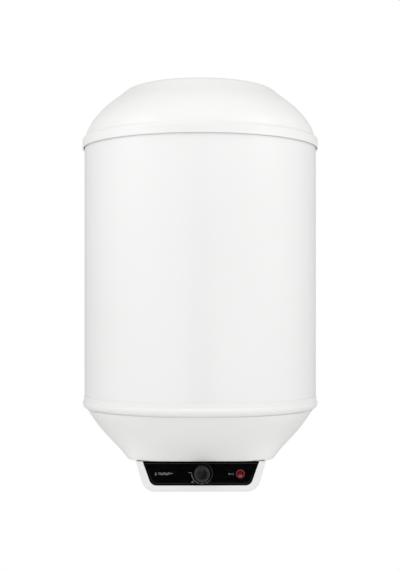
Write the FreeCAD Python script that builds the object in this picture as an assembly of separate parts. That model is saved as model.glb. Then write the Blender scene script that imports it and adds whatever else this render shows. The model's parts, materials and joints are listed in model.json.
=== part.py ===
"""Wall-hung electric storage water heater of the 80 litre class.

An enamelled steel tank with a bolted heater flange stands in polyurethane foam inside a painted steel casing.
A domed cap closes the top. A bead-edged trim ring and a bottom cover close the lower end, and a control panel
with a thermostat knob and a lit rocker switch hangs under the cover's front edge.

Sizes are in millimetres. Shapes are built in the heater's own frame: its upright axis is x = y = 0, the front
faces -Y, and z = 0 is just under the lowest point. export() moves them to the row frame, whose origin is the
middle of the four wall bolts, on the wall.
"""
import FreeCAD, Part
import math
import os
from FreeCAD import Vector

# ---------------------------------------------------------------- driving dimensions
LIP_R = 231.8              # the cap's lip
BEAD_R = 231.3             # the trim ring's bead, the widest place
CASING_R = 228.0
CASING_T = 0.8
TANK_R = 206.0
TANK_T = 2.0
TANK_LOW, TANK_HIGH = 222.0, 690.0      # the tank's two tangent lines
HEAD_DEPTH = 60.0
CASING_LOW, CASING_HIGH = 152.0, 668.0
CAP_LOW = 655.3
CAP_T = 2.0
COVER_LOW, COVER_HIGH = 58.2, 147.0     # bottom cover
COVER_T = 2.5
COVER_EDGE_R = 3.0
PANEL_FRONT = -150.0       # y of the control panel's front
PANEL_BACK = -62.0
WALL_Y = 246.0             # the wall's surface
BRACKET_HIGH, BRACKET_LOW = 580.0, 240.0
WALL_BOLT_X = 125.0
WALL_BOLT_R = 6.0
FIT = 0.1                  # clearance between parts that only touch
FLANGE_Y = -35.0           # centre of the heater flange
PIPE_X, PIPE_Y = 50.0, 62.0
KNOB_X, KNOB_Z = 2.0, 36.0
SWITCH_X, SWITCH_Z = 73.0, 35.0
GLAND_Y = 105.0
ORIGIN = Vector(0, WALL_Y, (BRACKET_HIGH + BRACKET_LOW) / 2)
ARC_SHARE = 0.45           # share of the shorter run that a bend in a wire or capillary takes up
UP, BACK, RIGHT = Vector(0, 0, 1), Vector(0, 1, 0), Vector(1, 0, 0)

os.makedirs("parts", exist_ok=True)


# ---------------------------------------------------------------- helpers
def export(name, *shapes):
    """Writes one node: each shape's solids, moved to the row frame."""
    solids = []
    for shape in shapes:
        solids += shape.Solids
    for n, solid in enumerate(solids):
        if not solid.isValid() or solid.Volume <= 0:
            print("BAD SOLID in", name, n, solid.isValid(), solid.Volume)
    whole = solids[0] if len(solids) == 1 else Part.makeCompound(solids)
    whole = whole.copy()
    whole.translate(-ORIGIN)
    whole.exportStep("parts/" + name + ".step")


def cylinder(radius, z0, z1, x=0.0, y=0.0):
    return Part.makeCylinder(radius, z1 - z0, Vector(x, y, z0))


def tube(outer, inner, z0, z1, x=0.0, y=0.0):
    return cylinder(outer, z0, z1, x, y).cut(cylinder(inner, z0 - 1, z1 + 1, x, y))


def cylinder_y(radius, y0, y1, x, z):
    """A cylinder that runs from front to back."""
    return Part.makeCylinder(radius, y1 - y0, Vector(x, y0, z), BACK)


def box(x0, x1, y0, y1, z0, z1):
    return Part.makeBox(x1 - x0, y1 - y0, z1 - z0, Vector(x0, y0, z0))


def hexagon(across_flats, z0, z1, x=0.0, y=0.0):
    reach = across_flats / 2 / math.cos(math.pi / 6)
    corners = [Vector(x + reach * math.cos(math.pi / 3 * n), y + reach * math.sin(math.pi / 3 * n), z0)
               for n in range(6)]
    return Part.Face(Part.makePolygon(corners + corners[:1])).extrude(UP * (z1 - z0))


def revolved(edges):
    """The closed outline of (radius, height) edges, turned about the upright axis."""
    return Part.Face(Part.Wire(Part.sortEdges(edges)[0])).revolve(Vector(0, 0, 0), UP, 360)


def section_point(r, z):
    return Vector(r, 0, z)


def line(a, b):
    return Part.LineSegment(section_point(*a), section_point(*b)).toShape()


def polyline(*points):
    return [line(a, b) for a, b in zip(points, points[1:])]


def curve_through(points, first, last):
    """A smooth curve through (radius, height) points that leaves and arrives in the two given directions."""
    spline = Part.BSplineCurve()
    spline.interpolate(Points=[section_point(*p) for p in points], InitialTangent=section_point(*first),
                       FinalTangent=section_point(*last))
    return spline


def direction_at(spline, point):
    """The curve's direction, as (radius, height), where it passes the point."""
    along = spline.tangent(spline.parameter(section_point(*point)))[0]
    return along.x, along.z


def offset_points(spline, points, distance):
    """The points moved inwards, square to the curve that runs up and in through them."""
    moved = []
    for r, z in points:
        across, up = direction_at(spline, (r, z))
        moved.append((max(r - abs(up) * distance, 0.0), z - abs(across) * distance))
    return moved


def ring_of(count, radius, x, y, start=0.0):
    """Places evenly spaced on a circle."""
    turns = [math.radians(start + 360.0 / count * n) for n in range(count)]
    return [(x + radius * math.cos(t), y + radius * math.sin(t)) for t in turns]


def routed_tube(points, radius):
    """A round wire or capillary along straight runs joined by tangent arcs."""
    places = [Vector(*p) for p in points]
    edges, start = [], places[0]
    for before, corner, after in zip(places, places[1:], places[2:]):
        inward, outward = before - corner, after - corner
        reach = ARC_SHARE * min(inward.Length, outward.Length)
        inward.normalize()
        outward.normalize()
        half = inward.getAngle(outward) / 2
        bend = reach * math.tan(half)
        middle = (inward + outward).normalize()
        a, b = corner + inward * reach, corner + outward * reach
        edges.append(Part.LineSegment(start, a).toShape())
        edges.append(Part.Arc(a, corner + middle * (bend / math.sin(half) - bend), b).toShape())
        start = b
    edges.append(Part.LineSegment(start, places[-1]).toShape())
    path = Part.Wire(edges)
    section = Part.Wire([Part.makeCircle(radius, places[0], places[1] - places[0])])
    solid = path.makePipeShell([section], True, False)
    expected = math.pi * radius ** 2 * path.Length
    if abs(solid.Volume - expected) > 0.02 * expected:
        print("ROUTE VOLUME", points[0], solid.Volume, expected)
    return solid


# ---------------------------------------------------------------- cap and casing
CAP_SHOULDER = [(226.0, 677.5), (221.2, 691.5), (213.4, 705.5), (187.3, 735), (143.5, 771)]
CAP_SHOULDER_START = (-0.28, 0.96)     # its direction where it rises from the lip
CAP_SHOULDER_END = (-0.73, 0.68)        # the shoulder's direction where it meets the crown
CAP_APEX = 781.0
CROWN_FILLET = 36.0
LIP_HIGH, LIP_ROUND = 671.0, 4.2        # top of the lip's upright face, and the rounding above it
FOAM_GAP = 1.0
FOAM_SHOULDER = 667.5      # where the foam starts to turn in under the cap


def cap_dome(inset, first=0):
    """The edges of the cap's shoulder and crown, moved in by the inset, and the shoulder's lowest point."""
    shoulder = curve_through(CAP_SHOULDER, CAP_SHOULDER_START, CAP_SHOULDER_END)
    start = direction_at(shoulder, CAP_SHOULDER[first])
    points = offset_points(shoulder, CAP_SHOULDER[first:], inset)
    edge, apex = section_point(*points[-1]), section_point(0, CAP_APEX - inset)
    sag = apex.z - edge.z
    sphere = (edge.x ** 2 + sag ** 2) / (2 * sag)
    turn = math.asin(edge.x / sphere) / 2
    middle = section_point(sphere * math.sin(turn), apex.z - sphere * (1 - math.cos(turn)))
    side = curve_through(points, start, CAP_SHOULDER_END)
    return [side.toShape(), Part.Arc(edge, middle, apex).toShape()], points[0]


def soften_crown(solid, edge_r, radius):
    """Rounds the ring edge between a dome's shoulder and its crown."""
    ring = [e for e in solid.Edges if abs(e.BoundBox.XMax - edge_r) < 3 and e.BoundBox.ZLength < 0.1
            and e.BoundBox.ZMin > CAP_SHOULDER[-1][1] - 6]
    return solid.makeFillet(radius, ring)


def domed_solid(inset, low):
    """A solid that fills the cap down to the given height."""
    dome, foot = cap_dome(inset)
    lip_r, lip_high = LIP_R - inset, LIP_HIGH - inset / 2
    ledge = (lip_r - LIP_ROUND, lip_high + LIP_ROUND)
    bend = section_point(lip_r - 0.29 * LIP_ROUND, lip_high + 0.71 * LIP_ROUND)
    rounding = Part.Arc(section_point(*ledge), bend, section_point(lip_r, lip_high)).toShape()
    outline = dome + polyline(foot, ledge) + [rounding] + polyline((lip_r, lip_high), (lip_r, low), (0, low),
                                                                   (0, CAP_APEX - inset))
    return soften_crown(revolved(outline), CAP_SHOULDER[-1][0] - inset, CROWN_FILLET - inset)


def top_cap():
    """The domed cap: a short upright lip, a steep shoulder and a flatter crown."""
    return domed_solid(0, CAP_LOW).cut(domed_solid(CAP_T, CAP_LOW - 5))


def cap_seal():
    """The black rubber strip between the cap's lip and the casing."""
    return tube(LIP_R - CAP_T - FIT, CASING_R + FIT, CAP_LOW + 3, CAP_LOW + 11)


BOSS_X, BOSS_R = 60.0, 12.0
PLUG_Z, PLUG_R = 410.0, 14.0
SEAM_ANGLE, SEAM_WIDTH, SEAM_T = 128.0, 3.0, 0.8


def boss_places():
    return [(side * BOSS_X, z) for z in (BRACKET_LOW, BRACKET_HIGH) for side in (-1, 1)]


def casing():
    shell = tube(CASING_R, CASING_R - CASING_T, CASING_LOW, CASING_HIGH)
    lap = tube(CASING_R + SEAM_T, CASING_R - CASING_T / 2, CASING_LOW + 20, CAP_LOW - 2)
    wedge = Part.makeCylinder(CASING_R + 5, CAP_LOW, Vector(0, 0, 0), UP, SEAM_WIDTH)
    wedge.rotate(Vector(0, 0, 0), UP, SEAM_ANGLE)
    shell = shell.fuse(lap.common(wedge))
    for x, z in boss_places():
        shell = shell.cut(cylinder_y(BOSS_R + 0.5, 150, 240, x, z))
    return shell.cut(cylinder_y(PLUG_R, 150, 240, 0, PLUG_Z)).removeSplitter()


def foam_fill_plug():
    """The plastic plug in the hole that the foam was injected through."""
    stem = cylinder_y(PLUG_R - 0.3, CASING_R - CASING_T - 1.2, CASING_R + 0.6, 0, PLUG_Z)
    head = cylinder_y(PLUG_R + 4, CASING_R + 0.6, CASING_R + 1.8, 0, PLUG_Z)
    dish = cylinder_y(PLUG_R - 3, CASING_R + 0.8, CASING_R + 3, 0, PLUG_Z)
    return stem.fuse(head).cut(dish).removeSplitter()


# ---------------------------------------------------------------- lower end of the casing
RING_FLANGE_R = 216.0
RING_FLANGE_T = 2.5
RING_TOP = 168.0           # top of the ring's inner wall, which the casing slips over
COVER_TOP_R = 224.0
SLEEVE_OUTLINE = [(CASING_R + 0.4, 170.8), (CASING_R + 0.9, 170.2), (CASING_R + 1.1, 161.8)]
BEAD_OUTLINE = [SLEEVE_OUTLINE[-1], (BEAD_R, 158.2), (230.4, 152.4), (228.2, 149.0), (224.4, COVER_HIGH)]


def lower_trim_ring():
    top = COVER_HIGH + RING_FLANGE_T
    inner_wall, seat = CASING_R - CASING_T - 0.2, CASING_LOW - 0.5
    bead = curve_through(BEAD_OUTLINE, (1, -0.5), (-1, -0.4))
    outline = [bead.toShape()] + polyline(
        BEAD_OUTLINE[-1], (RING_FLANGE_R, COVER_HIGH), (RING_FLANGE_R, top), (COVER_TOP_R, top),
        (COVER_TOP_R, RING_TOP), (inner_wall, RING_TOP), (inner_wall, seat), (CASING_R + 0.4, seat), *SLEEVE_OUTLINE)
    return revolved(outline)


CLOSER_LOW = COVER_HIGH + RING_FLANGE_T + FIT
CLOSER_HIGH = CLOSER_LOW + 1.2
NECK_R, NECK_BORE = 52.0, 48.0
PIPE_R = 10.65


def pipe_places():
    """Cold on the right, hot on the left, seen from the front."""
    return {"cold": (PIPE_X, PIPE_Y), "hot": (-PIPE_X, PIPE_Y)}


def foam_closing_plate():
    """The sheet steel disc that holds the foam up and carries the cover's posts."""
    plate = cylinder(COVER_TOP_R - 0.3, CLOSER_LOW, CLOSER_HIGH)
    plate = plate.cut(cylinder(NECK_R + 1, 140, 160, 0, FLANGE_Y))
    for x, y in pipe_places().values():
        plate = plate.cut(cylinder(PIPE_R + 0.6, 140, 160, x, y))
    return plate


# height, half width, half depth at the front and at the back, and how square the outline is (2 is round)
COVER_SECTIONS = [(COVER_HIGH - FIT, 223.8, 223.8, 223.8, 2.0), (106.0, 193.2, 194.5, 193.5, 2.25),
                  (83.0, 168.4, 172.5, 170.0, 2.9), (67.0, 149.4, 157.5, 153.5, 4.4),
                  (COVER_LOW, 140.0, 151.0, 147.0, 6.0)]
COVER_GROOVE_R, COVER_GROOVE_LOW = 221.7, 145.2     # the dark line between the trim ring and the cover
OUTLINE_POINTS = 48


def cover_outline(z, half_width, front, back, squareness, inset=0.0):
    """A closed curve between a circle and a rounded square, in polar form."""
    points = []
    for n in range(OUTLINE_POINTS):
        angle = 2 * math.pi * n / OUTLINE_POINTS
        c, s = math.cos(angle), math.sin(angle)
        depth = (back if s > 0 else front) - inset
        across, along = abs(c / (half_width - inset)), abs(s / depth)
        reach = (across ** squareness + along ** squareness) ** (-1 / squareness)
        points.append(Vector(reach * c, reach * s, z))
    spline = Part.BSplineCurve()
    spline.interpolate(points, PeriodicFlag=True)
    return Part.Wire([spline.toShape()])


POST_PLACES = [(105.0, 70.0), (-105.0, 70.0), (113.0, -30.0), (-113.0, -30.0)]
HOUSING_SCREW_PLACES = [(103.0, -92.0), (-103.0, -92.0)]
CABLE_WAY = (-90.0, 90.0, -141.0, -68.0)     # the hole between the cover and the panel housing
VENT_SLOTS, VENT_PITCH, VENT_LENGTH, VENT_WIDTH = 5, 9.0, 34.0, 3.0


def vent_slot(x, y):
    """A round-ended slot through the cover's floor."""
    half = VENT_LENGTH / 2 - VENT_WIDTH / 2
    slot = box(x - half, x + half, y - VENT_WIDTH / 2, y + VENT_WIDTH / 2, COVER_LOW - 1, COVER_LOW + 6)
    for end in (-half, half):
        slot = slot.fuse(cylinder(VENT_WIDTH / 2, COVER_LOW - 1, COVER_LOW + 6, x + end, y))
    return slot


def bottom_cover():
    outer = Part.makeLoft([cover_outline(*s) for s in COVER_SECTIONS], True)
    low_edge = min(outer.Edges, key=lambda e: e.CenterOfMass.z)
    outer = outer.makeFillet(COVER_EDGE_R, [low_edge])
    inner = Part.makeLoft([cover_outline(*s, inset=COVER_T * 1.25) for s in COVER_SECTIONS], True)
    cover = outer.cut(inner.common(cylinder(COVER_TOP_R, COVER_LOW + COVER_T, COVER_HIGH)))
    cover = cover.cut(tube(COVER_TOP_R + 5, COVER_GROOVE_R, COVER_GROOVE_LOW, COVER_HIGH))
    low, high = COVER_LOW - 1, COVER_LOW + COVER_T + 2
    for x, y in pipe_places().values():
        cover = cover.cut(cylinder(14, low, high, x, y))
    for x, y in POST_PLACES:
        cover = cover.cut(cylinder(2.3, low, high, x, y))
    for x, y in HOUSING_SCREW_PLACES:
        cover = cover.cut(cylinder(2.0, low, high, x, y))
    cover = cover.cut(box(*CABLE_WAY, low, high)).cut(cylinder(GLAND_R + 0.2, low, high, 0, GLAND_Y))
    for side in (-1, 1):
        for n in range(VENT_SLOTS):
            cover = cover.cut(vent_slot(side * 92, -2 + VENT_PITCH * n - 20))
    return cover


def cover_posts():
    """Hexagonal posts under the closing plate, which the cover's screws turn into."""
    top, low = CLOSER_LOW, COVER_LOW + COVER_T
    return [hexagon(8, low, top, x, y).cut(cylinder(2.05, low - 1, low + 18, x, y)) for x, y in POST_PLACES]


SCREW_HEAD_T = 2.4


def pan_screw(x, y, seat, radius, length, up=1):
    """A pan-head screw whose head lies against z = seat, with its shank running up or down from there."""
    far = seat - SCREW_HEAD_T * up
    head = cylinder(radius * 2, min(seat, far), max(seat, far), x, y)
    outer_edge = [e for e in head.Edges if abs(e.CenterOfMass.z - far) < 0.01 and len(e.Vertexes) == 1]
    head = head.makeFillet(1.0, outer_edge)
    shank = cylinder(radius, min(seat, seat + length * up), max(seat, seat + length * up), x, y)
    cross = None
    for a, b in ((radius, 0.45), (0.45, radius)):
        bar = box(x - a, x + a, y - b, y + b, min(far, far + 1.2 * up), max(far, far + 1.2 * up))
        cross = bar if cross is None else cross.fuse(bar)
    return head.fuse(shank).cut(cross).removeSplitter()


# ---------------------------------------------------------------- tank
def head_edge(depth, radius, tangent, sign):
    """A quarter ellipse from the rim of a tank head to its crown."""
    rim, crown = section_point(radius, tangent), section_point(0, tangent + sign * depth)
    return Part.Ellipse(rim, crown, section_point(0, tangent)).toBSpline(0, math.pi / 2).toShape()


SKIRT = 12.0


def tank_head(tangent, sign):
    """A pressed tank head: a half ellipse and a short straight skirt."""
    outer = head_edge(HEAD_DEPTH, TANK_R, tangent, sign)
    inner = head_edge(HEAD_DEPTH - TANK_T, TANK_R - TANK_T, tangent, sign)
    low = tangent - sign * SKIRT
    pole = line((0, tangent + sign * HEAD_DEPTH), (0, tangent + sign * (HEAD_DEPTH - TANK_T)))
    skirt = polyline((TANK_R, tangent), (TANK_R, low), (TANK_R - TANK_T, low), (TANK_R - TANK_T, tangent))
    return revolved([outer, inner, pole] + skirt)


def tank_envelope(gap):
    """The tank's outside, a little larger, as one solid: what the foam leaves free."""
    low, high = TANK_LOW, TANK_HIGH
    radius, depth = TANK_R + gap, HEAD_DEPTH + gap
    return revolved([head_edge(depth, radius, high, 1), head_edge(depth, radius, low, -1),
                     line((radius, low), (radius, high)), line((0, low - depth), (0, high + depth))])


def tank_bottom_head():
    head = tank_head(TANK_LOW, -1).cut(cylinder(NECK_R + FIT, 100, 220, 0, FLANGE_Y))
    for x, y in pipe_places().values():
        head = head.cut(cylinder(PIPE_R + FIT, 100, 220, x, y))
    return head


def tank_shell():
    return tube(TANK_R, TANK_R - TANK_T, TANK_LOW + SKIRT, TANK_HIGH - SKIRT)


def insulation_foam():
    inset = CAP_T + FOAM_GAP
    dome, foot = cap_dome(inset, 1)
    wall, low = CASING_R - CASING_T - FIT, CLOSER_HIGH + FIT
    step = RING_TOP + FIT
    block = revolved(dome + polyline(
        (0, CAP_APEX - inset), (0, low), (COVER_TOP_R - 0.2, low), (COVER_TOP_R - 0.2, step), (wall, step),
        (wall, FOAM_SHOULDER), foot))
    block = soften_crown(block, CAP_SHOULDER[-1][0] - inset, CROWN_FILLET - inset)
    block = block.cut(tank_envelope(FIT)).cut(cylinder(NECK_R + FIT, 140, 222, 0, FLANGE_Y))
    for x, y in pipe_places().values():
        block = block.cut(cylinder(PIPE_R + FIT, 140, 222, x, y))
    for x, z in boss_places():
        block = block.cut(cylinder_y(BOSS_R + FIT, 150, 240, x, z))
    return block.cut(cylinder_y(PLUG_R, CASING_R - 3, 240, 0, PLUG_Z))


# ---------------------------------------------------------------- heater flange
NECK_LOW = 134.0
GASKET_T, PLATE_T = 2.0, 5.0
PLATE_LOW = NECK_LOW - GASKET_T - PLATE_T
FLANGE_R, STUD_CIRCLE, STUD_R = 70.0, 61.0, 4.0
STUD_LOW = 112.0
ELEMENT_R, ELEMENT_HALF = 4.25, 13.0
ELEMENT_ROWS = (FLANGE_Y - 24, FLANGE_Y - 6)
ELEMENT_LOW, ELEMENT_HIGH = 117.0, 440.0
WELL_X, WELL_Y, WELL_R = 30.0, FLANGE_Y + 12, 5.5
WELL_HIGH = 400.0
ANODE_Y, ANODE_R = FLANGE_Y + 24, 11.0


def stud_places():
    return ring_of(6, STUD_CIRCLE, 0, FLANGE_Y, 30)


def element_places():
    return [(side * ELEMENT_HALF, y) for y in ELEMENT_ROWS for side in (-1, 1)]


def well_places():
    return [(-WELL_X, WELL_Y), (WELL_X, WELL_Y)]


def flange_neck():
    """The ring that is welded into the tank's lower head; the heater flange bolts to it."""
    neck = cylinder(NECK_R, NECK_LOW, 172, 0, FLANGE_Y)
    neck = neck.fuse(cylinder(FLANGE_R, NECK_LOW, NECK_LOW + 8, 0, FLANGE_Y))
    return neck.cut(cylinder(NECK_BORE, 120, 180, 0, FLANGE_Y)).removeSplitter()


def flange_studs():
    return [cylinder(STUD_R, STUD_LOW, NECK_LOW, x, y) for x, y in stud_places()]


def flange_gasket():
    gasket = tube(FLANGE_R - 1, NECK_BORE - 2, NECK_LOW - GASKET_T, NECK_LOW, 0, FLANGE_Y)
    for x, y in stud_places():
        gasket = gasket.cut(cylinder(STUD_R + 0.5, 110, 150, x, y))
    return gasket


def flange_plate():
    plate = cylinder(FLANGE_R, PLATE_LOW, PLATE_LOW + PLATE_T, 0, FLANGE_Y)
    holes = [(STUD_R + 0.5, stud_places()), (ELEMENT_R + FIT, element_places()), (WELL_R + FIT, well_places()),
             (4.3, [(0, ANODE_Y)])]
    for radius, places in holes:
        for x, y in places:
            plate = plate.cut(cylinder(radius, 110, 150, x, y))
    return plate


def flange_nut(x, y, height=8.0, flats=13.0, bore=4.05):
    """A hexagon nut with its washer face, screwed up against the flange plate."""
    nut = hexagon(flats, PLATE_LOW - height, PLATE_LOW, x, y)
    nut = nut.fuse(cylinder(8.6, PLATE_LOW - 1.4, PLATE_LOW, x, y))
    return nut.cut(cylinder(bore, 100, 140, x, y)).removeSplitter()


def heating_element(y):
    """One sheathed loop: two straight legs and a half-round return."""
    top = ELEMENT_HIGH
    left, right = Vector(-ELEMENT_HALF, y, ELEMENT_LOW), Vector(ELEMENT_HALF, y, ELEMENT_LOW)
    left_top, right_top = Vector(-ELEMENT_HALF, y, top), Vector(ELEMENT_HALF, y, top)
    path = Part.Wire([Part.LineSegment(left, left_top).toShape(),
                      Part.Arc(left_top, Vector(0, y, top + ELEMENT_HALF), right_top).toShape(),
                      Part.LineSegment(right_top, right).toShape()])
    return path.makePipeShell([Part.Wire([Part.makeCircle(ELEMENT_R, left, UP)])], True, False)


def element_insulators():
    return [tube(3.6, 1.3, ELEMENT_LOW - 5, ELEMENT_LOW, x, y) for x, y in element_places()]


TAB_LOW = 94.0


def element_pins():
    """The element's terminal pins, each ending in a flat push-on tab."""
    pins = []
    for x, y in element_places():
        tab = box(x - 3.15, x + 3.15, y - 0.4, y + 0.4, TAB_LOW, TAB_LOW + 9)
        pins.append(cylinder(1.2, TAB_LOW + 8, ELEMENT_LOW, x, y).fuse(tab).removeSplitter())
    return pins


def thermowells():
    """Two blind sheaths: one for the thermostat's bulb and one for the cut-out's."""
    wells = []
    for x, y in well_places():
        well = cylinder(WELL_R, PLATE_LOW - 2, WELL_HIGH, x, y)
        well = well.fuse(cylinder(7.2, PLATE_LOW - 2, PLATE_LOW, x, y))
        wells.append(well.cut(cylinder(WELL_R - 1, PLATE_LOW - 3, WELL_HIGH - 1.2, x, y)).removeSplitter())
    return wells


def anode_rod():
    """The magnesium rod, cast round its steel stud."""
    rod = cylinder(ANODE_R, 142, 470, 0, ANODE_Y)
    rod = rod.makeFillet(2.0, [e for e in rod.Edges if len(e.Vertexes) == 1])
    return rod.cut(cylinder(4.0, 130, 182, 0, ANODE_Y))


def anode_stud():
    collar = cylinder(7.5, PLATE_LOW + PLATE_T, PLATE_LOW + PLATE_T + 3, 0, ANODE_Y)
    return cylinder(4.0, 112, 182, 0, ANODE_Y).fuse(collar).removeSplitter()


# ---------------------------------------------------------------- water pipes
NIPPLE_LOW = 22.0
THREAD_R, THREAD_LENGTH = 10.48, 18.0     # G 1/2 outside thread
WATERWAY_R, INNER_R = 8.0, 7.5
WATERWAY_HIGH = 60.0
ROSETTE_R = 20.0


def nipple(x, y, top):
    """A steel pipe welded into the lower head, with an outside thread and a relief groove at its free end."""
    thread_top = NIPPLE_LOW + THREAD_LENGTH
    end = cylinder(THREAD_R, NIPPLE_LOW, thread_top, x, y)
    rim = [e for e in end.Edges if e.CenterOfMass.z < NIPPLE_LOW + 0.1 and len(e.Vertexes) == 1]
    end = end.makeChamfer(0.8, rim)
    pipe = end.fuse(cylinder(9.6, thread_top, thread_top + 3, x, y))
    pipe = pipe.fuse(cylinder(PIPE_R, thread_top + 3, top, x, y))
    pipe = pipe.cut(cylinder(INNER_R, NIPPLE_LOW - 1, top + 1, x, y))
    return pipe.cut(cylinder(WATERWAY_R, NIPPLE_LOW - 1, WATERWAY_HIGH, x, y)).removeSplitter()


def hot_dip_tube():
    """Takes hot water from the top of the tank; its upper end is cut on a slant."""
    x, y = pipe_places()["hot"]
    dip = tube(INNER_R - FIT, INNER_R - 1, 100, 724, x, y)
    cutter = box(-20, 20, -20, 20, 0, 30)
    cutter.rotate(Vector(0, 0, 0), BACK, 35)
    cutter.translate(Vector(x, y, 712))
    return dip.cut(cutter)


def cold_diffuser():
    """A cap on the cold pipe that turns the incoming water sideways."""
    x, y = pipe_places()["cold"]
    top = 184.0
    cap = cylinder(24, top + 12, top + 14.5, x, y).fuse(tube(24, 22, top + 4, top + 13, x, y))
    collar = tube(PIPE_R + 2.1, PIPE_R + FIT, top - 8, top + 2, x, y)
    legs = None
    for n in range(4):
        leg = box(PIPE_R + 0.6, 22.5, -1, 1, top - 2, top + 12.5)
        leg.rotate(Vector(0, 0, 0), UP, 90 * n + 45)
        leg.translate(Vector(x, y, 0))
        legs = leg if legs is None else legs.fuse(leg)
    return cap.fuse(collar).fuse(legs).removeSplitter()


def rosette(x, y):
    """The coloured ring round a pipe where it leaves the cover."""
    disc = cylinder(ROSETTE_R, COVER_LOW - 3, COVER_LOW, x, y)
    rim = [e for e in disc.Edges if e.CenterOfMass.z < COVER_LOW - 2 and len(e.Vertexes) == 1]
    disc = disc.makeChamfer(1.2, rim)
    collar = cylinder(13.7, COVER_LOW, COVER_LOW + 5, x, y)
    return disc.fuse(collar).cut(cylinder(PIPE_R + 0.4, 40, 80, x, y)).removeSplitter()


# ---------------------------------------------------------------- wall brackets
BRACKET_T, BRACKET_HALF, BRACKET_HALF_HEIGHT = 3.0, 150.0, 30.0
BOSS_FACE = 229.0
FOOT_HALF, WING_FROM = 82.0, 96.0


def wall_bracket(z):
    """A hat-shaped strip: its middle bolts to the tank's bosses and its two wings lie on the wall."""
    foot, t = BOSS_FACE, BRACKET_T
    wall = WALL_Y - t
    near = [(-BRACKET_HALF, wall), (-WING_FROM, wall), (-FOOT_HALF, foot), (FOOT_HALF, foot), (WING_FROM, wall),
            (BRACKET_HALF, wall)]
    shift = 1.2
    far = [(BRACKET_HALF, WALL_Y), (WING_FROM - shift, WALL_Y), (FOOT_HALF - shift, foot + t),
           (-FOOT_HALF + shift, foot + t), (-WING_FROM + shift, WALL_Y), (-BRACKET_HALF, WALL_Y)]
    corners = [Vector(x, y, z - BRACKET_HALF_HEIGHT) for x, y in near + far]
    strip = Part.Face(Part.makePolygon(corners + corners[:1])).extrude(UP * BRACKET_HALF_HEIGHT * 2)
    corner_edges = [e for e in strip.Edges if abs(e.BoundBox.XMin) > BRACKET_HALF - 0.1
                    and e.BoundBox.YLength > t - 0.1 and e.BoundBox.ZLength < 0.1 and e.BoundBox.XLength < 0.1]
    strip = strip.makeFillet(8.0, corner_edges)
    for side in (-1, 1):
        strip = strip.cut(cylinder_y(WALL_BOLT_R, 200, 260, side * WALL_BOLT_X, z))
        strip = strip.cut(cylinder_y(4.3, 200, 260, side * BOSS_X, z))
    return strip


def bracket_bosses():
    """Threaded steel bosses, welded to the tank, that reach out through the foam and the casing."""
    bosses = []
    for x, z in boss_places():
        boss = cylinder_y(BOSS_R, 180, BOSS_FACE, x, z).cut(cylinder(TANK_R + 0.02, z - 40, z + 40))
        bosses.append(boss.cut(cylinder_y(4.05, BOSS_FACE - 18, BOSS_FACE + 1, x, z)))
    return bosses


def bracket_bolts():
    bolts = []
    for x, z in boss_places():
        head = hexagon(13, 0, 5.3)
        head.rotate(Vector(0, 0, 0), RIGHT, -90)
        head.translate(Vector(x, BOSS_FACE + BRACKET_T, z))
        bolts.append(cylinder_y(4.0, BOSS_FACE - 14, BOSS_FACE + BRACKET_T, x, z).fuse(head).removeSplitter())
    return bolts


# ---------------------------------------------------------------- control panel
def trapezium(y, half_top, half_bottom, z_low, z_high, radius, inset=0.0):
    """An upright outline that narrows downwards, with its two lower corners rounded."""
    slope = (half_top - half_bottom) / (z_high - z_low)
    z_low, half_top, half_bottom = z_low + inset, half_top - inset, half_bottom - inset + inset * slope
    corners = [Vector(half_top, y, z_high), Vector(-half_top, y, z_high), Vector(-half_bottom, y, z_low),
               Vector(half_bottom, y, z_low)]
    edges, starts = [], []
    for before, corner, after in ((corners[1], corners[2], corners[3]), (corners[2], corners[3], corners[0])):
        inward, outward = (before - corner).normalize(), (after - corner).normalize()
        half = inward.getAngle(outward) / 2
        reach = radius / math.tan(half)
        middle = (inward + outward).normalize()
        a, b = corner + inward * reach, corner + outward * reach
        edges.append(Part.Arc(a, corner + middle * (radius / math.sin(half) - radius), b).toShape())
        starts += [a, b]
    lines = [(corners[0], corners[1]), (corners[1], starts[0]), (starts[1], starts[2]), (starts[3], corners[0])]
    straight = [Part.LineSegment(p, q).toShape() for p, q in lines]
    return Part.Wire([straight[0], straight[1], edges[0], straight[2], edges[1], straight[3]])


def slab(y0, y1, *outline, inset=0.0):
    return Part.Face(trapezium(y0, *outline, inset=inset)).extrude(BACK * (y1 - y0))


HOUSING_FRONT = (121.3, 104.2, 1.5, COVER_LOW, 27.0)
HOUSING_REAR = (113.8, 97.2, 13.0, COVER_LOW, 18.0)
FASCIA = (107.8, 91.9, 13.8, COVER_LOW, 14.0)
HOUSING_T, FRONT_T = 2.5, 4.5
FASCIA_FRONT, FASCIA_T = PANEL_FRONT + 0.9, 2.4
FILM_T, FILM_INSET = 0.5, 3.6


def panel_housing():
    ends = [trapezium(PANEL_FRONT, *HOUSING_FRONT), trapezium(PANEL_BACK, *HOUSING_REAR)]
    outer = Part.makeLoft(ends, True, True)
    rim = [e for e in outer.Edges if abs(e.BoundBox.YMax - PANEL_FRONT) < 0.1
           and e.BoundBox.ZMin < COVER_LOW - 1]
    outer = outer.makeFillet(3.5, rim)
    inner = Part.makeLoft([trapezium(PANEL_FRONT + FRONT_T, *HOUSING_FRONT, inset=HOUSING_T),
                           trapezium(PANEL_BACK - HOUSING_T, *HOUSING_REAR, inset=HOUSING_T)], True, True)
    housing = outer.cut(inner).cut(slab(PANEL_FRONT - 1, FASCIA_FRONT + FASCIA_T, *FASCIA, inset=-0.25))
    housing = housing.cut(slab(PANEL_FRONT, PANEL_FRONT + 8, *FASCIA, inset=5.0))
    for x, y in HOUSING_SCREW_PLACES:
        post = cylinder(4.5, 6, COVER_LOW, x, y).common(outer)
        housing = housing.fuse(post).cut(cylinder(1.6, COVER_LOW - 16, COVER_LOW + 1, x, y))
    return housing.removeSplitter()


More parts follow.
